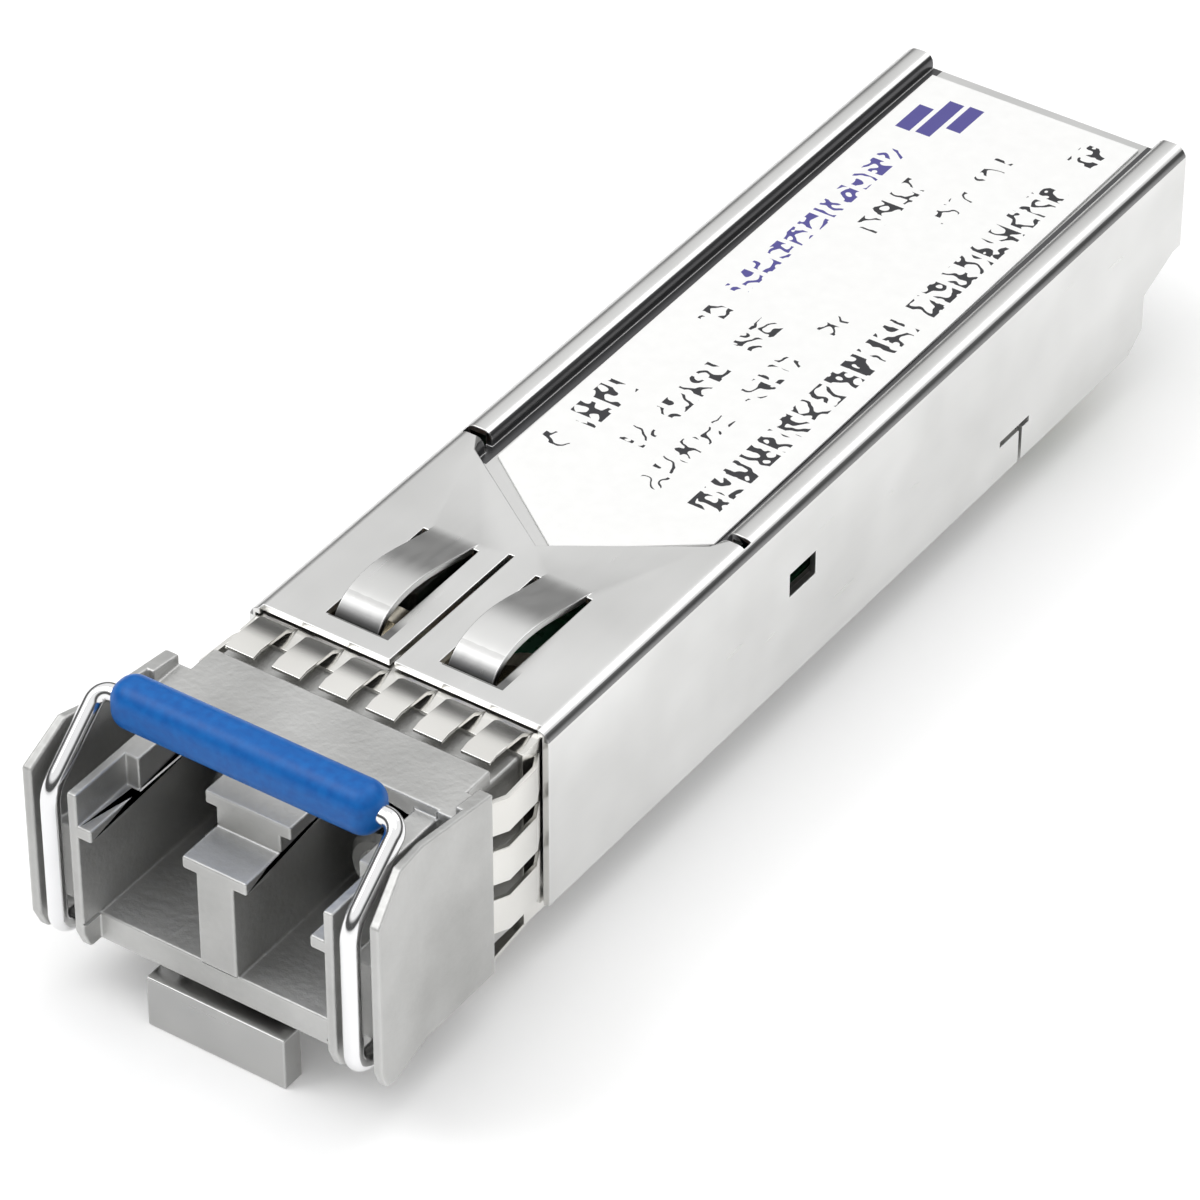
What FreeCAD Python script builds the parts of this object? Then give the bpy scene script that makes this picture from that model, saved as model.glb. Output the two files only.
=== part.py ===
import FreeCAD, Part
import Sketcher
import math
import os
import re

# Pluggable optical transceiver module with a duplex receptacle and a wire bail.
# Frame: +X to the right seen from the receptacle, +Y from the nose to the tail, +Z up.
# The driving sizes count lengths from the front of the cheeks and heights from the
# underside. Each node's placement moves it into the module's frame, whose origin is below
# the middle of the module, level with its lowest point.

doc = FreeCAD.newDocument("optical_transceiver")
Vector = FreeCAD.Vector
dims = doc.addObject("Spreadsheet::Sheet", "dims")

# name of the cell, size in millimetres, what it is
drivingDimensions = [
    ("overallLength", 57.0, "front of the cheeks to the rear edge of the cover"),
    ("coverHalf", 6.7, "half width of the cover, outside"),
    ("coverTop", 8.5, "underside of the module to the top of the cover"),
    ("coverBottom", 0.3, "lower edge of the cover's sides"),
    ("coverFront", 11.9, "front edge of the cover's sides"),
    ("flapFront", 12.15, "front edge of the two top flaps"),
    ("coverEdge", 0.6, "radius of the cover's bent top edges"),
    ("sheetGauge", 0.3, "thickness of the cover's steel"),
    ("railWidth", 1.35, "width of the rail along each side of the label bed"),
    ("bedDepth", 0.65, "depth of the label bed below the rails"),
    ("bedApex", 20.7, "front point of the label bed"),
    ("bedShoulder", 24.3, "where the label bed reaches its full width"),
    ("railNotch", 25.0, "front of the relief cut in each rail"),
    ("notchWidth", 0.45, "width of that relief cut"),
    ("seamWidth", 0.2, "gap between the two top flaps"),
    ("seamOffset", -0.4, "middle of that gap from the middle of the cover"),
    ("seamBack", 19.7, "rear end of the gap between the flaps"),
    ("springCentre", 2.55, "middle of each contact spring from the middle of the pair"),
    ("springOffset", -0.25, "middle of the pair of springs from the middle of the cover"),
    ("springHalf", 1.0, "half width of each contact spring"),
    ("springGap", 0.25, "slit beside each contact spring"),
    ("springFront", 13.1, "front of each contact spring's window"),
    ("springBack", 19.2, "rear root of each contact spring"),
    ("springRise", 0.75, "height of the spring's crest above the cover"),
    ("windowFront", 27.8, "front edge of the side window"),
    ("windowBack", 29.6, "rear edge of the side window"),
    ("windowLow", 4.4, "lower edge of the side window"),
    ("windowHigh", 5.5, "upper edge of the side window"),
    ("skirtEnd", 54.2, "rear end of the lower part of the cover's sides"),
    ("skirtStep", 3.2, "height of the step at the rear of the sides"),
    ("slotFront", 43.1, "front of the relief slot in each side"),
    ("slotBack", 45.3, "rear of the relief slot in each side"),
    ("slotHalf", 0.16, "half width of the relief slot"),
    ("slotHeight", 2.1, "middle of the relief slot"),
    ("noseHalf", 7.25, "half width of the nose behind the flare"),
    ("flareHalf", 7.85, "half width of the nose across the front edges of the cheeks"),
    ("flareDepth", 3.5, "length of the flare"),
    ("grooveBack", 6.2, "rear end of the groove that takes each bail arm"),
    ("cheekGauge", 0.45, "thickness of a cheek beside the bail"),
    ("noseBack", 7.7, "rear shoulder of the nose"),
    ("cheekCorner", 1.1, "radius of the lower front corner of the cheeks"),
    ("cheekBottom", 0.5, "underside of the nose"),
    ("cheekKnee", 8.35, "top of the straight front edge of a cheek"),
    ("cheekPeakY", 1.8, "front end of the top edge of a cheek"),
    ("cheekPeakZ", 9.7, "height of the top edge at its front end"),
    ("cheekBackZ", 8.9, "height of the top edge at the rear shoulder"),
    ("rimHalf", 5.85, "half width across the walls beside the ports"),
    ("roofFront", 6.3, "front edge of the roof over the ports"),
    ("roofWall", 6.65, "half distance between the cheeks above the roof"),
    ("neckHalf", 6.15, "half width of the neck under the shielding collar"),
    ("neckBottom", 0.25, "underside of the neck"),
    ("neckTop", 7.95, "top of the neck under the collar"),
    ("neckStart", 9.1, "front of the collar's recess in the roof"),
    ("neckBack", 14.6, "rear end of the neck"),
    ("portPitch", 6.25, "distance between the two fibre ports"),
    ("portWidth", 4.6, "width of a fibre port"),
    ("portHeight", 4.6, "height of a fibre port below its latch slot"),
    ("portRim", 0.42, "width of the rim that stands beside the ports"),
    ("portFloor", 2.0, "floor of the ports"),
    ("portDepth", 10.0, "rear wall of the ports"),
    ("latchSlot", 3.4, "width of the slot for a plug's latch"),
    ("ledgeFront", 0.85, "front of the ledges that a plug's latch catches on"),
    ("ledgeBack", 2.3, "rear of those ledges"),
    ("ledgeBottom", 6.15, "underside of those ledges"),
    ("ledgeTop", 6.7, "top of those ledges"),
    ("tBarHalf", 1.9, "half width of the bar on top of the divider"),
    ("tBarFront", 2.9, "front of that bar"),
    ("tBarBottom", 7.5, "underside of that bar"),
    ("tBarTop", 8.1, "top of that bar"),
    ("sillFront", 0.95, "front face of the sill below the ports"),
    ("sillBottom", 0.75, "lower edge of the sill"),
    ("barrelBore", 1.5, "radius of the holes in the ports' rear wall"),
    ("wireRadius", 0.375, "radius of the bail wire"),
    ("pivotPlay", 0.05, "radial running clearance of the pivots"),
    ("bailArm", 6.6, "middle of each bail arm from the middle of the nose"),
    ("pivotY", 2.3, "bail pivot behind the front of the cheeks"),
    ("pivotZ", 1.25, "height of the bail pivot"),
    ("bailKnee", 7.85, "height of the knee in the bail's arms"),
    ("gripY", 3.1, "bail's grip behind the front of the cheeks"),
    ("gripZ", 10.5, "height of the middle of the grip"),
    ("gripHalf", 5.85, "half length of the grip sleeve"),
    ("gripHeight", 2.2, "height of the grip sleeve"),
    ("gripDepth", 1.9, "depth of the grip sleeve"),
    ("gripBevel", 0.42, "bevel along the grip sleeve's edges"),
    ("crankThrow", 0.65, "offset of the cranks that push the latch lever"),
    ("tabHalf", 3.1, "half width of the latch lever's front tab"),
    ("tabFront", 0.5, "front face of the tab"),
    ("tabBack", 1.5, "rear face of the tab"),
    ("tabTop", 0.4, "top edge of the tab"),
    ("tabDrop", 1.9, "depth of the tab below the underside"),
    ("leverHalf", 2.35, "half width of the latch lever"),
    ("leverPlay", 0.25, "side clearance of the latch lever in its channel"),
    ("pinReach", 1.1, "how far the pin's holes reach beyond the lever"),
    ("leverBottom", 0.08, "underside of the latch lever"),
    ("leverTop", 0.55, "top of the latch lever"),
    ("leverBack", 12.3, "rear end of the latch lever"),
    ("leverPivotY", 6.0, "latch lever pivot behind the front of the cheeks"),
    ("leverPivotZ", 0.78, "height of the latch lever pivot"),
    ("leafGauge", 0.12, "thickness of the leaf spring over the lever"),
    ("leverHub", 0.7, "radius of the hub round the pivot pin"),
    ("pinRadius", 0.4, "radius of the latch lever's pin"),
    ("bossFront", 9.4, "front point of the triangular lock boss"),
    ("bossBack", 12.0, "locking shoulder of the boss, 45 mm from the tail"),
    ("bossHalf", 1.3, "half width of the lock boss at its shoulder"),
    ("bossDrop", 0.45, "depth of the lock boss below the underside"),
    ("channelTop", 1.6, "roof of the channel over the latch lever"),
    ("trayHalf", 6.35, "half width of the tray inside the cover"),
    ("trayFloor", 0.9, "top of the tray's floor"),
    ("trayWall", 0.7, "thickness of the tray's side walls"),
    ("trayWallTop", 3.6, "top of the tray's side walls"),
    ("trayOpening", 10.4, "tail to the rear end of the tray"),
    ("trayBevel", 0.4, "bevel along the lower edges of the tray"),
    ("boardBottom", 2.25, "underside of the circuit board"),
    ("boardGauge", 1.0, "thickness of the circuit board"),
    ("boardHalf", 5.4, "half width of the circuit board"),
    ("boardTailHalf", 4.6, "half width of the board's contact tongue"),
    ("boardFront", 20.3, "front edge of the circuit board"),
    ("boardStep", 43.0, "where the board narrows to its tongue"),
    ("boardInset", 3.2, "tail to the rear edge of the board"),
    ("axisHeight", 4.3, "height of the optical axes"),
    ("barrelRadius", 1.45, "radius of an optical barrel"),
    ("barrelFront", 6.4, "front end of the optical barrels"),
    ("flangeRadius", 2.25, "radius of a barrel's flange"),
    ("flangeGauge", 0.8, "thickness of a barrel's flange"),
    ("sleeveRadius", 0.85, "outer radius of a split alignment sleeve"),
    ("sleeveBack", 11.0, "rear end of a split alignment sleeve"),
    ("ferruleRadius", 0.63, "bore radius of a split alignment sleeve"),
    ("stubRadius", 0.4, "radius of the stub or lens behind an alignment sleeve"),
    ("canRadius", 2.3, "radius of a diode can's cap"),
    ("headerRadius", 2.7, "radius of a diode can's header"),
    ("contactPitch", 0.8, "pitch of the edge contacts"),
    ("contactHalf", 0.27, "half width of an edge contact"),
    ("contactGauge", 0.04, "thickness of an edge contact"),
    ("fingerPitch", 2.1, "pitch of the shielding fingers"),
    ("fingerHalf", 0.65, "half width of a shielding finger"),
    ("sideFingerPitch", 2.3, "pitch of the fingers on each side"),
    ("sideFingerHalf", 0.8, "half width of a side finger"),
    ("sideFingerLow", 2.2, "height of the middle of the lowest side finger"),
    ("fingerGauge", 0.18, "thickness of the shielding collar"),
    ("labelTwist", 0.45, "angle in degrees by which the label is laid askew"),
]
for row, (alias, size, note) in enumerate(drivingDimensions, start=1):
    dims.set(f"A{row}", note)
    dims.set(f"B{row}", str(size))
    dims.setAlias(f"B{row}", alias)
doc.recompute()

aliases = sorted((entry[0] for entry in drivingDimensions), key=len, reverse=True)
aliasPattern = re.compile(r"\b(" + "|".join(aliases) + r")\b")


def cell(expression):
    """Turns the plain names in an expression into references to the sheet."""
    return aliasPattern.sub(r"dims.\1", str(expression))


def size(alias):
    return float(dims.get(alias))


# ---- helpers for objects that are bound to the sheet ----

places = {}


def bindPlace(item, x, y, z):
    places[item.Name] = (x, y, z)
    for axis, expression in zip("xyz", (x, y, z)):
        item.setExpression(f"Placement.Base.{axis}", cell(expression))


def block(name, x, y, z):
    """A box between a low and a high expression on each axis."""
    item = doc.addObject("Part::Box", name)
    for side, (low, high) in zip(("Length", "Width", "Height"), (x, y, z)):
        item.setExpression(side, cell(f"({high}) - ({low})"))
    bindPlace(item, x[0], y[0], z[0])
    return item


def pairOfBlocks(name, x, y, z):
    """The same box on the right side and mirrored on the left side."""
    right = block(name + "Right", x, y, z)
    left = block(name + "Left", (f"-({x[1]})", f"-({x[0]})"), y, z)
    return [right, left]


turns = {
    "x": FreeCAD.Rotation(Vector(0, 1, 0), 90),
    "y": FreeCAD.Rotation(Vector(1, 0, 0), -90),
    "z": FreeCAD.Rotation(),
}


def rod(name, along, start, radius, length):
    """A cylinder from a start point along one axis."""
    item = doc.addObject("Part::Cylinder", name)
    item.Placement = FreeCAD.Placement(Vector(), turns[along])
    item.setExpression("Radius", cell(radius))
    item.setExpression("Height", cell(length))
    bindPlace(item, *start)
    return item


def fuse(name, pieces):
    item = doc.addObject("Part::MultiFuse", name)
    item.Shapes = pieces
    item.Refine = True
    return item


def cut(name, base, tools):
    item = doc.addObject("Part::Cut", name)
    item.Base = base
    item.Tool = tools[0] if len(tools) == 1 else fuse(name + "Tools", tools)
    item.Refine = True
    return item


def common(name, pieces):
    item = doc.addObject("Part::MultiCommon", name)
    item.Shapes = pieces
    item.Refine = True
    return item


def mirrored(name, source):
    item = doc.addObject("Part::Mirroring", name)
    item.Source = source
    item.Normal = Vector(1, 0, 0)
    return item


def outlineSketch(sketch, corners):
    """A closed outline whose corners are held by constraints bound to the sheet."""
    start = [Vector(index, index * index, 0) for index in range(len(corners))]
    count = len(corners)
    for index in range(count):
        sketch.addGeometry(Part.LineSegment(start[index], start[(index + 1) % count]), False)
    for index in range(count):
        sketch.addConstraint(Sketcher.Constraint("Coincident", index, 2, (index + 1) % count, 1))
    for index, corner in enumerate(corners):
        for kind, expression in zip(("DistanceX", "DistanceY"), corner):
            number = sketch.addConstraint(Sketcher.Constraint(kind, -1, 1, index, 1, 1.0))
            title = f"{kind}{index}"
            sketch.renameConstraint(number, title)
            sketch.setExpression(f"Constraints.{title}", cell(expression))


planes = {
    "plan": FreeCAD.Rotation(),
    "side": FreeCAD.Rotation(Vector(1, 1, 1), 120),
    "front": FreeCAD.Rotation(Vector(1, 0, 0), 90),
}


def prism(name, plane, corners, low, high):
    """An outline drawn in plan (x, y), side (y, z) or front (x, z) view, and its depth."""
    sketch = doc.addObject("Sketcher::SketchObject", name + "Outline")
    sketch.Placement = FreeCAD.Placement(Vector(), planes[plane])
    outlineSketch(sketch, corners)
    normal = {"plan": "z", "side": "x", "front": "y"}[plane]
    start = {"x": (low, 0, 0), "y": (0, low, 0), "z": (0, 0, low)}[normal]
    bindPlace(sketch, *start)
    item = doc.addObject("Part::Extrusion", name)
    item.Base = sketch
    item.DirMode = "Custom"
    item.Dir = {"x": Vector(1, 0, 0), "y": Vector(0, 1, 0), "z": Vector(0, 0, 1)}[normal]
    item.setExpression("LengthFwd", cell(f"({high}) - ({low})"))
    item.Solid = True
    return item


def newBody(name):
    body = doc.addObject("PartDesign::Body", name)
    doc.recompute()
    return body


def bodyPlane(body, role):
    for feature in body.Origin.OriginFeatures:
        if feature.Role == role:
            return feature
    raise ValueError(role)


def bodySketch(body, name, role, offset=None):
    sketch = body.newObject("Sketcher::SketchObject", name)
    sketch.AttachmentSupport = [(bodyPlane(body, role), "")]
    sketch.MapMode = "FlatFace"
    if offset is not None:
        sketch.setExpression("AttachmentOffset.Base.z", cell(offset))
    return sketch


def pad(body, name, role, offset, corners, length):
    """Pads an outline from a plane of the body, along that plane's own normal."""
    sketch = bodySketch(body, name + "Outline", role, offset)
    outlineSketch(sketch, corners)
    feature = body.newObject("PartDesign::Pad", name)
    feature.Profile = sketch
    feature.setExpression("Length", cell(length))
    return feature


def revolve(body, name, corners):
    """Turns an outline of (radius, y) round the body's own Y axis."""
    sketch = bodySketch(body, name + "Outline", "XY_Plane")
    outlineSketch(sketch, corners)
    feature = body.newObject("PartDesign::Revolution", name)
    feature.Profile = sketch
    feature.ReferenceAxis = (bodyPlane(body, "Y_Axis"), [""])
    feature.Angle = 360
    return feature


subParts = {}


def node(label, item):
    """Names a finished sub-part and sets it in the module's own frame."""
    x, y, z = places.get(item.Name, (0, 0, 0))
    bindPlace(item, x, f"{y} - (overallLength - wireRadius) / 2", f"{z} + tabDrop")
    item.Label = label
    subParts[label] = item
    return item


# ---- die-cast base: the nose with its two fibre ports, the neck and the tray ----

def castNose():
    plan = [
        ("-flareHalf", 0), ("flareHalf", 0), ("noseHalf", "flareDepth"), ("noseHalf", "noseBack"),
        ("-noseHalf", "noseBack"), ("-noseHalf", "flareDepth"),
    ]
    rounding = f"cheekCorner * {1 - math.sqrt(0.5):.4f}"
    profile = [
        (0, "cheekBottom + cheekCorner"), (rounding, f"cheekBottom + {rounding}"),
        ("cheekCorner", "cheekBottom"), ("noseBack", "cheekBottom"), ("noseBack", "cheekBackZ"),
        ("cheekPeakY", "cheekPeakZ"), (0, "cheekKnee"),
    ]
    shell = common("noseShell", [
        prism("nosePlan", "plan", plan, -1, 12),
        prism("noseProfile", "side", profile, "-flareHalf - 1", "flareHalf + 1"),
    ])
    inner = "flareHalf - cheekGauge"
    innerBack = "noseHalf - cheekGauge + 0.12"
    groovePlan = [
        ("rimHalf", -1), (f"{inner} + 0.17", -1),
    ]
    tools = []
    for name, back, low, high in (
        ("grooveFoot", "pivotY + 0.55", -1, "pivotZ + 0.75"),
        ("grooveArm", "1.0", -1, 12),
        ("grooveHead", "grooveBack", "bailKnee - 2.4", 12),
    ):
        right = common(name + "Right", [
            prism(name + "Plan", "plan", groovePlan + [
                (innerBack, "flareDepth"), (innerBack, "grooveBack"), ("rimHalf", "grooveBack")], low, high),
            block(name + "Reach", (0, 10), (-1, back), (-1, 12)),
        ])
        tools += [right, mirrored(name + "Left", right)]
    tools.append(block("betweenCheeks", ("-roofWall", "roofWall"), (-1, "noseBack + 1"),
                       ("coverTop", 12)))
    tools.append(block("openTop", ("-rimHalf", "rimHalf"), (-1, "roofFront"), ("tBarTop", 12)))
    tools.append(block("openFront", ("-rimHalf + portRim", "rimHalf - portRim"), (-1, "tBarFront"),
                       ("ledgeTop", 12)))
    tools += pairOfBlocks("latchSlotTop", ("tBarHalf", "rimHalf - 1.0"), (-1, "roofFront"),
                          ("ledgeTop", 12))
    tools.append(block("sillRecess", ("-rimHalf + portRim", "rimHalf - portRim"), (-1, "sillFront"),
                       (-1, "portFloor")))
    tools.append(block("sillUnder", ("-rimHalf", "rimHalf"), (-1, "noseBack + 1"),
                       (-1, "sillBottom")))
    return cut("noseCasting", shell, tools)


def portTools():
    """The two square fibre ports, with the narrower slots for the plugs' latches above."""
    tools = []
    centre = "portPitch / 2"
    for sign, side in ((1, "Right"), (-1, "Left")):
        low, high = f"{sign} * {centre} - portWidth / 2", f"{sign} * {centre} + portWidth / 2"
        top = "portFloor + portHeight"
        tools.append(block("port" + side, (low, high), (-1, "portDepth"),
                           ("portFloor", "ledgeBottom")))
        tools.append(block("portUpper" + side, (low, high), ("ledgeBack", "portDepth"),
                           ("portFloor", top)))
        slotLow = f"{sign} * {centre} - latchSlot / 2"
        slotHigh = f"{sign} * {centre} + latchSlot / 2"
        tools.append(block("latchPath" + side, (slotLow, slotHigh), (-1, "portDepth"),
                           ("portFloor", "tBarBottom")))
    tools.append(block("postFront", ("-portPitch / 2", "portPitch / 2"), (-1, "ledgeFront"),
                       ("portFloor", 12)))
    tools += pairOfBlocks("aboveLedge", ("portPitch / 2 - portWidth / 2", "portPitch / 2"),
                          (-1, "tBarFront"), ("ledgeTop", "tBarBottom"))
    return tools


def dieCastBase():
    neck = block("neck", ("-neckHalf", "neckHalf"), ("noseBack - 0.5", "neckBack"),
                 ("neckBottom", "neckTop"))
    neckRoof = block("neckRoof", ("-neckHalf", "neckHalf"), ("noseBack - 0.5", "neckStart"),
                     ("neckBottom", "coverTop"))
    trayBack = "overallLength - trayOpening"
    trayOutline = [
        ("-trayHalf + trayBevel", 0), ("trayHalf - trayBevel", 0), ("trayHalf", "trayBevel"),
        ("trayHalf", "trayWallTop"), ("-trayHalf", "trayWallTop"), ("-trayHalf", "trayBevel"),
    ]
    tray = prism("trayBlock", "front", trayOutline, "neckBack - 1.2", trayBack)
    casting = fuse("castBlank", [castNose(), neck, neckRoof, tray])
    tools = portTools()
    tools.append(block("trayHollow", ("-trayHalf + trayWall", "trayHalf - trayWall"),
                       ("neckBack + 6.0", f"{trayBack} + 1"), ("trayFloor", "trayWallTop + 1")))
    # the bay behind the ports, where the two optical subassemblies sit
    tools.append(block("opticBay", ("-trayHalf + trayWall", "trayHalf - trayWall"),
                       ("portDepth + 1.2", "neckBack + 6.2"), ("portFloor - 0.5", 12)))
    tools.append(block("canBay", ("-trayHalf + 0.45", "trayHalf - 0.45"),
                       ("neckBack + 0.4", "neckBack + 6.2"), ("portFloor - 0.5", 12)))
    for sign, side in ((1, "Right"), (-1, "Left")):
        tools.append(rod("barrelHole" + side, "y",
                         (f"{sign} * portPitch / 2", "portDepth - 0.5", "axisHeight"), "barrelBore", 3))
    # channel for the latch lever, its pin and the cranks of the bail
    tools.append(block("leverChannel", ("-leverHalf - leverPlay", "leverHalf + leverPlay"),
                       (-1, "leverBack + 0.9"), (-1, "channelTop")))
    tools.append(block("sillBridge", ("-tabHalf - 0.7", "tabHalf + 0.7"),
                       ("sillFront + leverPlay", "pivotY + 0.8"), (-1, "pivotZ + 0.5")))
    tools.append(rod("pinHole", "x", ("-leverHalf - pinReach", "leverPivotY", "leverPivotZ"),
                     "pinRadius + 0.01", "2 * (leverHalf + pinReach)"))
    tools.append(rod("bailHole", "x", ("-bailArm", "pivotY", "pivotZ"), "wireRadius + pivotPlay",
                     "2 * bailArm"))
    base = cut("castRough", casting, tools)
    # the sill's front wall closes the channel above the tab, and ledges carry the board
    sillWall = block("sillWall", ("-leverHalf - 0.5", "leverHalf + 0.5"),
                     ("sillFront", "sillFront + leverPlay"), ("sillBottom", "portFloor"))
    ledges = pairOfBlocks("boardLedge", ("boardTailHalf + 0.1", "trayHalf - trayWall + 0.1"),
                          ("boardFront", "boardFront + 4"), ("trayFloor - 0.2", "boardBottom"))
    ledges += pairOfBlocks("boardLedgeRear", ("boardTailHalf + 0.1", "trayHalf - trayWall + 0.1"),
                           ("boardStep - 4", "boardStep - 0.2"), ("trayFloor - 0.2", "boardBottom"))
    ears = pairOfBlocks("pinEar", ("leverHalf + leverPlay", "leverHalf + pinReach"),
                        ("leverPivotY - 1.0", "leverPivotY + 1.0"), (0, "sillBottom"))
    whole = fuse("castWhole", [base, sillWall] + ledges + ears)
    earHole = rod("earHole", "x", ("-leverHalf - pinReach", "leverPivotY", "leverPivotZ"),
                  "pinRadius + 0.01", "2 * (leverHalf + pinReach)")
    last = cut("castBase", whole, [earHole])
    return node("die_cast_base", last)


# ---- stamped cover ----

def contactSpring(name, sign):
    """A bowed strip lanced from the cover, held at its rear end."""
    front, back = size("springFront") + 0.25, size("springBack") + 0.4
    low, rise, gauge = size("coverTop") - size("sheetGauge"), size("springRise"), size("sheetGauge")
    crest = front + 0.3 * (back - front)
    tip = Vector(0, front, low - 0.25)
    shoulder = Vector(0, front + 0.35, low + 0.28)
    outline = [
        tip, shoulder, Vector(0, crest, low + rise), Vector(0, back - 0.9, low + 0.15),
        Vector(0, back, low),
    ]
    curve = Part.BSplineCurve()
    curve.interpolate(outline)
    upper = [Vector(0, point.y, point.z + gauge) for point in outline]
    upper[0] = Vector(0, tip.y - 0.24, tip.z + 0.12)
    upper[1] = Vector(0, shoulder.y - 0.12, shoulder.z + 0.27)
    upperCurve = Part.BSplineCurve()
    upperCurve.interpolate(upper)
    edges = [curve.toShape(), Part.LineSegment(outline[-1], upper[-1]).toShape(), upperCurve.toShape(),
             Part.LineSegment(outline[0], upper[0]).toShape()]
    face = Part.Face(Part.Wire(Part.__sortEdges__(edges)))
    strip = face.extrude(Vector(2 * size("springHalf"), 0, 0))
    item = doc.addObject("Part::Feature", name)
    item.Shape = strip
    edge = size("springOffset") + sign * size("springCentre") - size("springHalf")
    item.Placement = FreeCAD.Placement(Vector(edge, 0, 0), FreeCAD.Rotation())
    return item


def shieldCover():
    low = "coverBottom"
    outer = block("coverOuter", ("-coverHalf", "coverHalf"), ("coverFront", "overallLength"),
                  (low, "coverTop"))
    inner = block("coverInner", ("-coverHalf + sheetGauge", "coverHalf - sheetGauge"),
                  ("coverFront - 1", "overallLength + 1"), (-1, "coverTop - sheetGauge"))
    edges = doc.addObject("Part::Fillet", "coverRounded")
    edges.Base = outer
    doc.recompute()
    topEdges = [
        (index, size("coverEdge"), size("coverEdge"))
        for index, edge in enumerate(outer.Shape.Edges, start=1)
        if abs(edge.CenterOfMass.z - size("coverTop")) < 0.01
        and abs(abs(edge.CenterOfMass.x) - size("coverHalf")) < 0.01
    ]
    edges.Edges = topEdges
    shell = cut("coverShell", edges, [inner])
    bedHalf = "coverHalf - railWidth"
    bed = [
        (0, "bedApex"), (bedHalf, "bedShoulder"), (bedHalf, "overallLength + 1"),
        (f"-({bedHalf})", "overallLength + 1"), (f"-({bedHalf})", "bedShoulder"),
    ]
    trough = [
        (0, "bedApex - sheetGauge"), (f"{bedHalf} + sheetGauge", "bedShoulder - sheetGauge"),
        (f"{bedHalf} + sheetGauge", "overallLength"),
        (f"-({bedHalf}) - sheetGauge", "overallLength"),
        (f"-({bedHalf}) - sheetGauge", "bedShoulder - sheetGauge"),
    ]
    bedBlock = prism("bedBlock", "plan", trough, "coverTop - bedDepth - sheetGauge", "coverTop - 0.05")
    bedPocket = prism("bedPocket", "plan", bed, "coverTop - bedDepth", "coverTop + 1")
    walls = fuse("coverWithBed", [shell, bedBlock])
    tools = [bedPocket]
    tools.append(block("flapEdge", ("-coverHalf + 0.5", "coverHalf - 0.5"), ("coverFront - 1", "flapFront"),
                       ("coverTop - 1", "coverTop + 1")))
    tools.append(block("seam", ("seamOffset - seamWidth / 2", "seamOffset + seamWidth / 2"),
                       ("flapFront - 1", "seamBack"), ("coverTop - 1", "coverTop + 1")))
    for name, sign in (("Right", 1), ("Left", -1)):
        tools.append(block("springWindow" + name,
                           (f"springOffset + {sign} * springCentre - springHalf - springGap",
                            f"springOffset + {sign} * springCentre + springHalf + springGap"),
                           ("springFront", "springBack"), ("coverTop - 1", "coverTop + 1")))
    tools += pairOfBlocks("railCut", ("coverHalf - railWidth - 0.4", "coverHalf - 0.28"),
                          ("railNotch", "railNotch + notchWidth"), ("coverTop - bedDepth", "coverTop + 1"))
    across = ("-coverHalf - 1", "coverHalf + 1")
    tools.append(block("sideWindows", across, ("windowFront", "windowBack"),
                       ("windowLow", "windowHigh")))
    tools.append(block("reliefSlots", across, ("slotFront", "slotBack"),
                       ("slotHeight - slotHalf", "slotHeight + slotHalf")))
    tools.append(block("reliefSlits", across, ("slotBack - 0.75", "slotBack - 0.5"),
                       (-1, "slotHeight")))
    tailCut = [
        ("overallLength + 1", -1), ("overallLength + 1", "skirtStep + 0.5"),
        ("overallLength - 0.6", "skirtStep + 0.5"), ("skirtEnd", "skirtStep - 0.4"),
        ("skirtEnd", "coverBottom + 0.9"), ("skirtEnd - 1.2", "coverBottom"), ("skirtEnd - 1.2", -1),
    ]
    tools.append(prism("tailCut", "side", tailCut, *across))
    cover = cut("coverCut", walls, tools)
    springs = [contactSpring("springRight", 1), contactSpring("springLeft", -1)]
    return node("shield_cover", fuse("coverWhole", [cover] + springs))


# ---- shielding collar with its spring fingers ----

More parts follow.
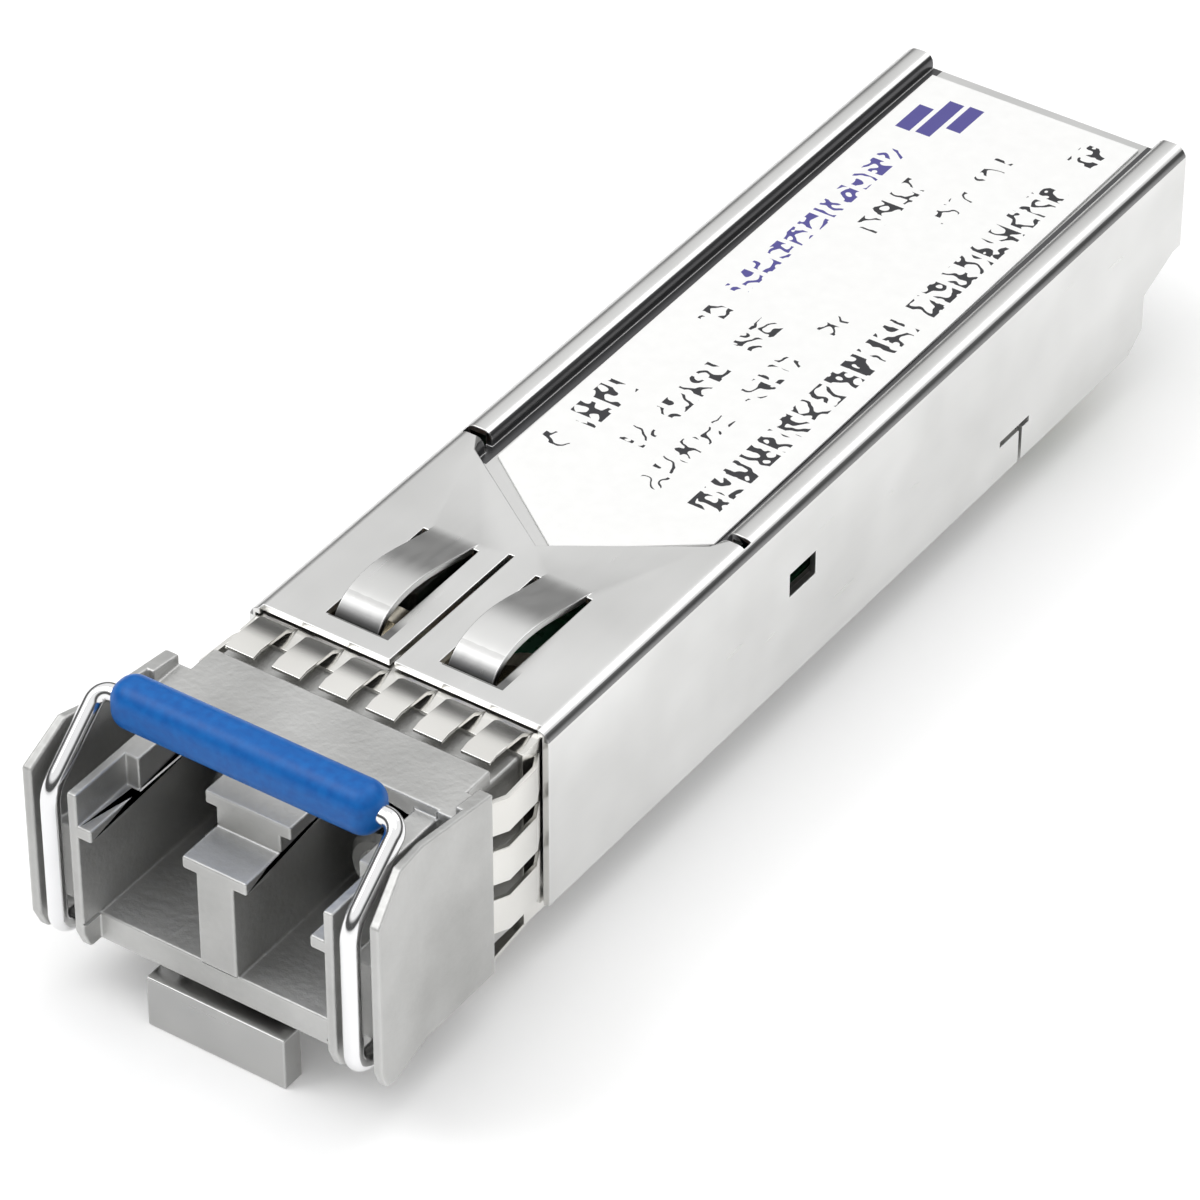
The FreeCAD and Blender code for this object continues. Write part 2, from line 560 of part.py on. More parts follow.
def emiCollar():
    """A band round the neck whose fingers reach forward, bowed outwards."""
    bandFront, bandBack = "coverFront - 1.1", "springFront - 0.15"
    top = "neckTop + fingerGauge"
    halfOut = "neckHalf + fingerGauge"
    beyond = (f"{bandFront} - 1", f"{bandBack} + 1")
    outer = block("bandOuter", (f"-({halfOut})", halfOut), (bandFront, bandBack),
                  ("neckBottom - fingerGauge", top))
    inner = block("bandInner", ("-neckHalf", "neckHalf"), beyond, ("neckBottom", "neckTop"))
    gap = block("bandGap", ("-leverHalf - 0.4", "leverHalf + 0.4"), beyond, (-1, 1))
    pieces = [cut("band", outer, [inner, gap])]
    root = "coverFront + 0.2"
    topFinger = [
        (root, "neckTop"), (root, top), ("coverFront - 0.45", "coverTop + 0.02"),
        ("neckStart + 0.75", "coverTop + 0.12"), ("neckStart + 0.3", "coverTop + 0.02"),
        ("neckStart + 0.3", "coverTop - 0.12"), ("neckStart + 0.75", "coverTop - 0.04"),
        ("coverFront - 0.5", "coverTop - 0.18"),
    ]
    for index in range(6):
        middle = f"{index - 2.5} * fingerPitch"
        pieces.append(prism(f"topFinger{index}", "side", topFinger,
                            f"{middle} - fingerHalf", f"{middle} + fingerHalf"))
    tip = "noseBack + 0.55"
    sideRoot = "coverFront - 0.05"
    sideFinger = [
        ("neckHalf", sideRoot), (halfOut, sideRoot), ("noseHalf - 0.45", "coverFront - 0.9"),
        ("noseHalf - 0.35", f"{tip} + 0.9"), ("neckHalf + 0.3", tip), ("neckHalf + 0.1", tip),
        ("noseHalf - 0.55", f"{tip} + 0.95"), ("noseHalf - 0.65", "coverFront - 0.9"),
    ]
    for index in range(3):
        middle = f"sideFingerLow + {index} * sideFingerPitch"
        finger = prism(f"sideFinger{index}", "plan", sideFinger, f"{middle} - sideFingerHalf",
                       f"{middle} + sideFingerHalf")
        pieces += [finger, mirrored(f"sideFingerLeft{index}", finger)]
    bottomFinger = [
        (root, "neckBottom - fingerGauge"), (root, "neckBottom"), ("coverFront - 0.6", "-0.25"),
        ("noseBack + 1.2", "-0.6"), (tip, 0.1), ("noseBack + 0.35", 0.0), ("noseBack + 1.1", "-0.8"),
        ("coverFront - 0.6", "-0.43"),
    ]
    for index, middle in enumerate((3.65, 5.4)):
        finger = prism(f"bottomFinger{index}", "side", bottomFinger,
                       f"{middle} - fingerHalf", f"{middle} + fingerHalf")
        pieces += [finger, mirrored(f"bottomFingerLeft{index}", finger)]
    return node("emi_collar", fuse("collarWhole", pieces))


# ---- bail: one bent wire with a plastic grip sleeve ----

def roundedPath(points, radii):
    """Straight runs joined by tangent arcs."""
    edges = []
    start = points[0]
    for index, radius in enumerate(radii, start=1):
        corner = points[index]
        before = (points[index - 1] - corner).normalize()
        after = (points[index + 1] - corner).normalize()
        half = before.getAngle(after) / 2
        reach = radius / math.tan(half)
        arcStart, arcEnd = corner + before * reach, corner + after * reach
        centre = corner + (before + after).normalize() * (radius / math.sin(half))
        middle = centre + (corner - centre).normalize() * radius
        edges.append(Part.LineSegment(start, arcStart).toShape())
        edges.append(Part.Arc(arcStart, middle, arcEnd).toShape())
        start = arcEnd
    edges.append(Part.LineSegment(start, points[-1]).toShape())
    return Part.Wire(edges)


def bailWire():
    armX, pivotY, pivotZ = size("bailArm"), size("pivotY"), size("pivotZ")
    throw, knee = size("crankThrow"), size("bailKnee")
    tabEdge = size("tabHalf")
    half = [
        Vector(tabEdge - 0.75, pivotY - throw, pivotZ), Vector(tabEdge - 0.05, pivotY - throw, pivotZ),
        Vector(tabEdge + 0.55, pivotY, pivotZ), Vector(armX, pivotY, pivotZ), Vector(armX, 0, pivotZ),
        Vector(armX, 0, knee), Vector(armX, size("gripY"), size("gripZ")),
    ]
    radii = [0.38, 0.38, 0.6, 0.85, 1.4, 0.62]
    left = [Vector(-point.x, point.y, point.z) for point in half]
    path = roundedPath(half + left[::-1], radii + radii[::-1])
    profile = Part.Wire(Part.makeCircle(size("wireRadius"), half[0], Vector(1, 0, 0)))
    pipe = Part.BRepOffsetAPI.MakePipeShell(path)
    pipe.add(profile, False, False)
    pipe.build()
    pipe.makeSolid()
    item = doc.addObject("Part::Feature", "bailWire")
    item.Shape = pipe.shape()
    print("bail wire volume", round(item.Shape.Volume, 3), "of",
          round(path.Length * math.pi * size("wireRadius") ** 2, 3))
    return node("bail_wire", item)


def bailSleeve():
    body = newBody("bailSleeve")
    high, deep = "gripHeight / 2", "gripDepth / 2"
    inDeep, inHigh = f"{deep} - gripBevel", f"{high} - gripBevel"
    outline = [
        (f"-({deep})", f"-({inHigh})"), (f"-({inDeep})", f"-({high})"), (inDeep, f"-({high})"),
        (deep, f"-({inHigh})"), (deep, inHigh), (inDeep, high), (f"-({inDeep})", high),
        (f"-({deep})", inHigh),
    ]
    grip = pad(body, "sleeveBar", "YZ_Plane", "-gripHalf", outline, "2 * gripHalf")
    bore = bodySketch(body, "sleeveBore", "YZ_Plane", "-gripHalf - 1")
    circle = bore.addGeometry(Part.Circle(Vector(), Vector(0, 0, 1), 0.4), False)
    bore.addConstraint(Sketcher.Constraint("Coincident", circle, 3, -1, 1))
    radius = bore.addConstraint(Sketcher.Constraint("Radius", circle, 0.4))
    bore.renameConstraint(radius, "boreRadius")
    bore.setExpression("Constraints.boreRadius", cell("wireRadius + 0.01"))
    doc.recompute()
    solidVolume = grip.Shape.Volume
    pocket = body.newObject("PartDesign::Pocket", "sleevePocket")
    pocket.Profile = bore
    pocket.Type = 1
    pocket.Reversed = True
    doc.recompute()
    ends = [
        f"Edge{index}" for index, edge in enumerate(pocket.Shape.Edges, start=1)
        if edge.BoundBox.XLength < 0.01 and edge.Curve.TypeId == "Part::GeomLine"
    ]
    bevel = body.newObject("PartDesign::Chamfer", "sleeveEnds")
    bevel.Base = (pocket, ends)
    bevel.Size = 0.3
    doc.recompute()
    print("sleeve bore takes", round(solidVolume - pocket.Shape.Volume, 3))
    bindPlace(body, 0, "gripY", "gripZ")
    return node("bail_sleeve", body)


# ---- latch lever, its pin and its leaf spring ----

def latchLever():
    plate = block("leverPlate", ("-leverHalf", "leverHalf"), ("tabBack - 0.1", "leverBack"),
                  ("leverBottom", "leverTop"))
    tab = block("leverTab", ("-tabHalf", "tabHalf"), ("tabFront", "tabBack"), ("-tabDrop", "tabTop"))
    hub = rod("leverHubRod", "x", ("-leverHalf", "leverPivotY", "leverPivotZ"), "leverHub",
              "2 * leverHalf")
    boss = prism("lockBoss", "plan", [
        (-0.35, "bossFront"), (0.35, "bossFront"), ("bossHalf", "bossBack - 0.6"), ("bossHalf", "bossBack"),
        ("-bossHalf", "bossBack"), ("-bossHalf", "bossBack - 0.6"),
    ], "-bossDrop", "leverBottom + 0.1")
    ramp = prism("bossRamp", "side", [
        ("bossFront - 1", "-bossDrop - 1"), ("bossBack - 1.1", "-bossDrop - 1"),
        ("bossBack - 1.1", "-bossDrop"), ("bossFront", "leverBottom - 0.1"),
        ("bossFront - 1", "leverBottom - 0.1"),
    ], "-bossHalf - 1", "bossHalf + 1")
    solid = fuse("leverBlank", [plate, tab, hub, cut("lockBossCut", boss, [ramp])])
    bore = rod("leverBore", "x", ("-leverHalf - 1", "leverPivotY", "leverPivotZ"),
               "pinRadius + pivotPlay", "2 * leverHalf + 2")
    waist = pairOfBlocks("leverWaist", ("leverHalf - 0.7", "leverHalf + 1"),
                         ("leverPivotY + 1.2", "bossFront"), (-1, 2))
    return node("latch_lever", cut("leverWhole", solid, [bore] + waist))


def latchPin():
    pin = rod("latchPin", "x", ("-leverHalf - pinReach + 0.1", "leverPivotY", "leverPivotZ"),
              "pinRadius", "2 * (leverHalf + pinReach - 0.1)")
    return node("latch_pivot_pin", pin)


def latchSpring():
    """An arched leaf between the roof of the channel and the rear arm of the lever."""
    body = newBody("latchSpring")
    top, low = "channelTop - 0.02", "leverTop + 0.02"
    leaf = [
        ("leverPivotY + 1.6", f"{top} - leafGauge"), ("leverPivotY + 3.2", f"{top} - leafGauge"),
        ("leverBack - 1.0", low), ("leverBack - 0.2", low), ("leverBack - 0.2", f"{low} + leafGauge"),
        ("leverBack - 0.95", f"{low} + leafGauge"), ("leverPivotY + 3.25", top),
        ("leverPivotY + 1.6", top),
    ]
    pad(body, "springLeaf", "YZ_Plane", "-leverHalf / 2", leaf, "leverHalf")
    return node("latch_spring", body)


# ---- optics ----

def opticalBarrel(label, sign):
    body = newBody(label + "Body")
    flangeFront = "portDepth + 1.2"
    revolve(body, label + "Turned", [
        ("sleeveRadius + 0.01", "barrelFront"), ("barrelRadius - 0.25", "barrelFront"),
        ("barrelRadius", "barrelFront + 0.25"), ("barrelRadius", flangeFront),
        ("flangeRadius", flangeFront), ("flangeRadius", f"{flangeFront} + flangeGauge"),
        ("barrelRadius + 0.2", f"{flangeFront} + flangeGauge"),
        ("barrelRadius + 0.2", f"{flangeFront} + flangeGauge + 0.9"),
        ("stubRadius + 0.01", f"{flangeFront} + flangeGauge + 0.9"),
        ("stubRadius + 0.01", "sleeveBack + 0.05"),
        ("sleeveRadius + 0.01", "sleeveBack + 0.05"),
    ])
    bindPlace(body, f"{sign} * portPitch / 2", 0, "axisHeight")
    return node(label, body)


def splitSleeve(label, sign):
    """A slotted alignment sleeve: the slot runs along its top."""
    front, back = "barrelFront + 0.4", "sleeveBack"
    tube = rod(label + "Tube", "y", (f"{sign} * portPitch / 2", front, "axisHeight"), "sleeveRadius",
               f"({back}) - ({front})")
    bore = rod(label + "Bore", "y", (f"{sign} * portPitch / 2", f"{front} - 1", "axisHeight"),
               "ferruleRadius", f"({back}) - ({front}) + 2")
    slit = block(label + "Slit", (f"{sign} * portPitch / 2 - 0.07", f"{sign} * portPitch / 2 + 0.07"),
                 (f"{front} - 1", f"{back} + 1"), ("axisHeight", "axisHeight + 1.5"))
    return node(label, cut(label + "Whole", tube, [bore, slit]))


def fibreStub(label, sign, length):
    """A ceramic stub or lens rod in the barrel's own bore, behind the sleeve."""
    stub = rod(label + "Rod", "y", (f"{sign} * portPitch / 2", "sleeveBack + 0.1", "axisHeight"),
               "stubRadius", length)
    return node(label, stub)


def diodeCan(label, sign, length):
    """A welded cap on a round header with its leads cut short behind it."""
    body = newBody(label + "Body")
    front = "portDepth + 1.2 + flangeGauge + 0.9"
    revolve(body, label + "Turned", [
        (0, front), ("canRadius - 0.2", front), ("canRadius", f"{front} + 0.2"),
        ("canRadius", f"{front} + {length}"), ("headerRadius", f"{front} + {length}"),
        ("headerRadius", f"{front} + {length} + 0.9"),
        (0, f"{front} + {length} + 0.9"),
    ])
    bindPlace(body, f"{sign} * portPitch / 2", 0, "axisHeight")
    return node(label, body)


def opticRetainer():
    """A moulded clamp that holds both barrels' flanges against the wall behind the ports."""
    front = "portDepth + 1.2 + flangeGauge + 0.02"
    plate = block("retainerPlate", ("-trayHalf + trayWall + 0.05", "trayHalf - trayWall - 0.05"),
                  (front, f"{front} + 0.8"),
                  ("portFloor - 0.45", "coverTop - bedDepth - sheetGauge - 0.1"))
    tools = []
    for side, sign in (("Right", 1), ("Left", -1)):
        tools.append(rod("retainerHole" + side, "y",
                         (f"{sign} * portPitch / 2", f"{front} - 1", "axisHeight"),
                         "barrelRadius + 0.25", 4))
        tools.append(block("retainerSlot" + side,
                           (f"{sign} * portPitch / 2 - barrelRadius - 0.25",
                            f"{sign} * portPitch / 2 + barrelRadius + 0.25"),
                           (f"{front} - 1", f"{front} + 2"), (-1, "axisHeight")))
    return node("osa_retainer", cut("retainer", plate, tools))


def flexCircuit(label, sign, canLength):
    """A thin strip from the back of a can's header, bent down onto the board."""
    body = newBody(label + "Body")
    start = f"portDepth + 2.1 + flangeGauge + {canLength} + 0.9 + 0.01"
    boardTop = "boardBottom + boardGauge"
    outline = [
        (start, boardTop), ("boardFront + 2.4", boardTop), ("boardFront + 2.4", f"{boardTop} + 0.12"),
        (f"{start} + 0.3", f"{boardTop} + 0.12"), (f"{start} + 0.12", f"{boardTop} + 0.3"),
        (f"{start} + 0.12", "axisHeight + 1.6"), (start, "axisHeight + 1.6"),
    ]
    pad(body, label + "Strip", "YZ_Plane", f"{sign} * portPitch / 2 - 1.5", outline, "3")
    return node(label, body)


# ---- circuit board and what is on it ----

boardTop = "boardBottom + boardGauge"
boardEnd = "overallLength - boardInset"


def mainBoard():
    body = newBody("mainBoard")
    outline = [
        ("-boardHalf", "boardFront"), ("boardHalf", "boardFront"), ("boardHalf", "boardStep"),
        ("boardTailHalf", "boardStep"), ("boardTailHalf", f"{boardEnd} - 0.5"),
        ("boardTailHalf - 0.5", boardEnd), ("-boardTailHalf + 0.5", boardEnd),
        ("-boardTailHalf", f"{boardEnd} - 0.5"), ("-boardTailHalf", "boardStep"),
        ("-boardHalf", "boardStep"),
    ]
    pad(body, "boardPlate", "XY_Plane", "boardBottom", outline, "boardGauge")
    return node("main_pcb", body)


def edgeContacts():
    """Two rows of gold contacts; the middle and outer ones reach further back."""
    pieces = []
    for row, low in (("Upper", boardTop), ("Lower", "boardBottom - contactGauge")):
        for index in range(10):
            middle = f"({index} - 4.5) * contactPitch"
            inset = 0.25 if index in (0, 4, 5, 9) else 0.65
            pieces.append(block(f"contact{row}{index}",
                                (f"{middle} - contactHalf", f"{middle} + contactHalf"),
                                (f"{boardEnd} - 4.2", f"{boardEnd} - {inset}"),
                                (low, f"{low} + contactGauge")))
    group = doc.addObject("Part::Compound", "edgeContacts")
    group.Links = pieces
    return node("edge_contacts", group)


def chip(label, middleX, middleY, width, length, height, side="top"):
    """A square leadless package with a pin-one dimple's corner bevelled."""
    body = newBody(label + "Body")
    corner = 0.35
    left, front = middleX - width / 2, middleY - length / 2
    outline = [
        (left, front + corner), (left + corner, front), (left + width, front),
        (left + width, front + length), (left, front + length),
    ]
    low = boardTop if side == "top" else f"boardBottom - {height}"
    pad(body, label + "Package", "XY_Plane", low, outline, height)
    return node(label, body)


def chipPassives():
    """Small ceramic capacitors and resistors, in rows beside the packages."""
    pieces = []
    for rowIndex, middleX in enumerate((-4.5, 4.5)):
        for index in range(6):
            y = 25.2 + 2.6 * index + 0.7 * rowIndex
            pieces.append(block(f"passive{rowIndex}n{index}", (middleX - 0.25, middleX + 0.25),
                                (y, y + 1.0), (boardTop, f"{boardTop} + 0.5")))
    for index in range(3):
        x = -2.4 + 2.4 * index
        pieces.append(block(f"filterCap{index}", (x - 0.8, x + 0.8), (44.3, 45.1),
                            (boardTop, f"{boardTop} + 0.8")))
    group = doc.addObject("Part::Compound", "chipPassives")
    group.Links = pieces
    return node("chip_passives", group)


def thermalPad():
    pad = block("thermalPad", (-2.6, 2.6), (26.5, 33.5), ("trayFloor", "boardBottom"))
    return node("thermal_pad", pad)


def label():
    """A paper label with a pointed front end, laid slightly askew on its bed."""
    body = newBody("label")
    bed = "coverHalf - railWidth"
    half = f"{bed} - 0.45"
    outline = [
        (0, "bedApex + 0.75"), (half, "bedShoulder + 0.75"), (half, "overallLength - 0.55"),
        (f"-({half})", "overallLength - 0.55"), (f"-({half})", "bedShoulder + 0.75"),
    ]
    pad(body, "labelSheet", "XY_Plane", "coverTop - bedDepth", outline, "0.1")
    body.Placement = FreeCAD.Placement(Vector(), FreeCAD.Rotation(Vector(0, 0, 1), size("labelTwist")))
    bindPlace(body, f"{40 * math.sin(math.radians(size('labelTwist'))):.3f}", 0, 0)
    return node("label", body)


dieCastBase()
shieldCover()
emiCollar()
bailWire()
bailSleeve()
latchLever()
latchPin()
latchSpring()
for side, sign, canLength in (("tosa", 1, 3.2), ("rosa", -1, 2.6)):
    opticalBarrel(side + "_barrel", sign)
    splitSleeve(side + "_split_sleeve", sign)
    diodeCan(side + "_can", sign, canLength)
    flexCircuit(side + "_flex", sign, canLength)
fibreStub("tosa_fibre_stub", 1, "1.7")
fibreStub("rosa_lens", -1, "1.1")
opticRetainer()
mainBoard()
edgeContacts()
chip("laser_driver_ic", 1.9, 27.4, 4.0, 4.0, 0.9)
chip("limiting_amp_ic", -2.2, 27.2, 3.0, 3.0, 0.85)
chip("controller_ic", 0.0, 36.2, 5.0, 5.0, 0.9)
chip("memory_ic", 0.4, 41.0, 2.0, 3.0, 0.6, "bottom")
chipPassives()
thermalPad()
label()
doc.recompute()

os.makedirs("parts", exist_ok=True)
failed = [item.Name for item in doc.Objects if "Invalid" in item.State or "Error" in item.State]
if failed:
    raise RuntimeError("objects that failed: " + ", ".join(failed))
for name, item in subParts.items():
    if item.Shape.isNull() or not item.Shape.isValid():
        raise RuntimeError(name + " has no valid shape")
    solids = item.Shape.Solids
    print(f"{name:20s} solids {len(solids):2d}  volume {item.Shape.Volume:9.3f} mm3")
for name, item in subParts.items():
    item.Shape.exportStep(f"parts/{name}.step")
print("nodes", len(subParts))
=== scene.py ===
import bpy
import math
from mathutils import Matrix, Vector


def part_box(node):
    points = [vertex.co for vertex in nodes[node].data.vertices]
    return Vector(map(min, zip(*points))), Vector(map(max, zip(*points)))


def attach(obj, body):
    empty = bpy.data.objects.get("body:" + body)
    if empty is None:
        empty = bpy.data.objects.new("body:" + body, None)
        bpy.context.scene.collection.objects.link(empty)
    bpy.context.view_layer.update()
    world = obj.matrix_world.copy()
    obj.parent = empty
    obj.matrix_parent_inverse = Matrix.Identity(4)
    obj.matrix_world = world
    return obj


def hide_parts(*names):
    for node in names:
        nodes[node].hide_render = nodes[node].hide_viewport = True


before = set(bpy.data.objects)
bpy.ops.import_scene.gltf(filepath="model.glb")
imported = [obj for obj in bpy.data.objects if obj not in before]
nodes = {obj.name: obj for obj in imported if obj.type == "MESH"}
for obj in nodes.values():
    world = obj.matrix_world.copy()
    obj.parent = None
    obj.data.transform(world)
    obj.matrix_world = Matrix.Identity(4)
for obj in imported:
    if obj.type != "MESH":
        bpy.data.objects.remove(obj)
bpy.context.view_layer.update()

millimetre = 0.001


# every finish starts from one shader, with its patterns laid on Object coordinates
def newMaterial(name):
    material = bpy.data.materials.new(name)
    material.use_nodes = True
    tree = material.node_tree
    shader = tree.nodes["Principled BSDF"]
    place = tree.nodes.new("ShaderNodeTexCoord")
    return material, tree, shader, place.outputs["Object"]


def mappedPlace(tree, place, turn=0.0, stretch=(1, 1, 1)):
    mapping = tree.nodes.new("ShaderNodeMapping")
    mapping.inputs["Rotation"].default_value = (0, 0, turn)
    mapping.inputs["Scale"].default_value = stretch
    tree.links.new(place, mapping.inputs["Vector"])
    return mapping.outputs["Vector"]


def noiseNode(tree, place, scale, detail=3.0, stretch=(1, 1, 1)):
    noise = tree.nodes.new("ShaderNodeTexNoise")
    noise.inputs["Scale"].default_value = scale
    noise.inputs["Detail"].default_value = detail
    tree.links.new(mappedPlace(tree, place, stretch=stretch), noise.inputs["Vector"])
    return noise.outputs["Fac"]


def cellNode(tree, place, scale):
    cells = tree.nodes.new("ShaderNodeTexVoronoi")
    cells.inputs["Scale"].default_value = scale
    tree.links.new(place, cells.inputs["Vector"])
    return cells.outputs["Distance"]


def colourRamp(tree, factor, stops, sharp=False):
    ramp = tree.nodes.new("ShaderNodeValToRGB")
    if sharp:
        ramp.color_ramp.interpolation = "CONSTANT"
    elements = ramp.color_ramp.elements
    while len(elements) < len(stops):
        elements.new(0.5)
    for element, (position, colour) in zip(elements, stops):
        element.position = position
        element.color = (*colour, 1.0)
    tree.links.new(factor, ramp.inputs["Fac"])
    return ramp.outputs["Color"]


def rangeNode(tree, factor, low, high, fromLow=0.0, fromHigh=1.0):
    spread = tree.nodes.new("ShaderNodeMapRange")
    spread.inputs["From Min"].default_value = fromLow
    spread.inputs["From Max"].default_value = fromHigh
    spread.inputs["To Min"].default_value = low
    spread.inputs["To Max"].default_value = high
    tree.links.new(factor, spread.inputs["Value"])
    return spread.outputs["Result"]


def mathNode(tree, operation, first, second=0.0):
    step = tree.nodes.new("ShaderNodeMath")
    step.operation = operation
    for socket, value in zip(step.inputs, (first, second)):
        if isinstance(value, (int, float)):
            socket.default_value = value
        else:
            tree.links.new(value, socket)
    return step.outputs["Value"]


def mixColour(tree, factor, first, second):
    mix = tree.nodes.new("ShaderNodeMix")
    mix.data_type = "RGBA"
    tree.links.new(factor, mix.inputs["Factor"])
    for name, colour in (("A", first), ("B", second)):
        socket = [s for s in mix.inputs if s.name == name and s.type == "RGBA"][0]
        if isinstance(colour, tuple):
            socket.default_value = (*colour, 1.0)
        else:
            tree.links.new(colour, socket)
    return [s for s in mix.outputs if s.type == "RGBA"][0]


def bumpNode(tree, shader, factor, strength, distance):
    bump = tree.nodes.new("ShaderNodeBump")
    bump.inputs["Strength"].default_value = strength
    bump.inputs["Distance"].default_value = distance
    tree.links.new(factor, bump.inputs["Height"])
    tree.links.new(bump.outputs["Normal"], shader.inputs["Normal"])


def edgeWearAndHighlight(tree, radius):
    # 1 along the corners of the metal, where the colour is lightened as a painted highlight and as polish
    # from handling, and 0 on its flats
    rounded = tree.nodes.new("ShaderNodeBevel")
    rounded.samples = 4
    rounded.inputs["Radius"].default_value = radius
    surface = tree.nodes.new("ShaderNodeNewGeometry")
    dot = tree.nodes.new("ShaderNodeVectorMath")
    dot.operation = "DOT_PRODUCT"
    tree.links.new(rounded.outputs["Normal"], dot.inputs[0])
    tree.links.new(surface.outputs["Normal"], dot.inputs[1])
    return rangeNode(tree, dot.outputs["Value"], 1.0, 0.0, 0.75, 0.98)


def bandMask(tree, value, middle, half):
    away = mathNode(tree, "ABSOLUTE", mathNode(tree, "SUBTRACT", value, middle))
    return mathNode(tree, "LESS_THAN", away, half)


def paintedShadeMask(tree, place, shade):
    # a zone of painted shade between two limits on each axis, in millimetres, which may fade towards the
    # tail
    axes = tree.nodes.new("ShaderNodeSeparateXYZ")
    tree.links.new(place, axes.inputs["Vector"])
    masks = []
    for value, (low, high) in (
        (mathNode(tree, "ABSOLUTE", axes.outputs["X"]), shade["across"]),
        (axes.outputs["Y"], shade["along"]), (axes.outputs["Z"], shade["height"]),
    ):
        middle, half = (low + high) / 2, (high - low) / 2
        masks.append(bandMask(tree, value, middle * millimetre, half * millimetre))
    zone = mathNode(tree, "MULTIPLY", mathNode(tree, "MULTIPLY", masks[0], masks[1]), masks[2])
    if "fade" not in shade:
        return zone
    start, end = (value * millimetre for value in shade["fade"])
    fading = rangeNode(tree, axes.outputs["Y"], shade["strength"], 0.0, start, end)
    return mathNode(tree, "MULTIPLY", zone, fading)


def metalFinish(name, look):
    material, tree, shader, place = newMaterial(name)
    shader.inputs["Metallic"].default_value = 1.0
    fine = noiseNode(tree, place, look["grain"], 4.0, look.get("stretch", (1, 1, 1)))
    broad = noiseNode(tree, place, look["grain"] * 0.06, 2.0)  # the sheet's slow change from light to dark
    colour = colourRamp(tree, broad, [(0.3, look["dark"]), (0.7, look["light"])])
    # painted shade is laid over the sheet's colour in the listed zones, where shadow and dark reflections
    # fall
    for shade in look.get("paintedShades", ()):
        colour = mixColour(tree, paintedShadeMask(tree, place, shade), colour, shade["colour"])
    # the corners are lightened, partly a painted highlight along the edges and partly polish from handling
    if "wornAndHighlit" in look:
        patchy = rangeNode(tree, fine, 0.5, 1.0)
        wearAndHighlight = mathNode(tree, "MULTIPLY", edgeWearAndHighlight(tree, look["wearAndHighlightWidth"]), patchy)
        colour = mixColour(tree, wearAndHighlight, colour, look["wornAndHighlit"])
    tree.links.new(colour, shader.inputs["Base Color"])
    tree.links.new(rangeNode(tree, fine, *look["roughness"]), shader.inputs["Roughness"])
    bumpNode(tree, shader, fine, 0.4, look["bump"])
    return material


def mouldedFinish(name, look):
    material, tree, shader, place = newMaterial(name)
    fine = noiseNode(tree, place, look["grain"], 3.0)
    colour = colourRamp(tree, fine, [(0.3, look["dark"]), (0.7, look["light"])])
    tree.links.new(colour, shader.inputs["Base Color"])
    tree.links.new(rangeNode(tree, fine, *look["roughness"]), shader.inputs["Roughness"])
    bumpNode(tree, shader, fine, 0.3, look["bump"])
    shader.inputs["Specular IOR Level"].default_value = look.get("gloss", 0.5)
    if "coat" in look:
        shader.inputs["Coat Weight"].default_value = look["coat"]
        shader.inputs["Coat Roughness"].default_value = look["coatRoughness"]
    if "seeThrough" in look:
        shader.inputs["Transmission Weight"].default_value = look["seeThrough"]
    return material


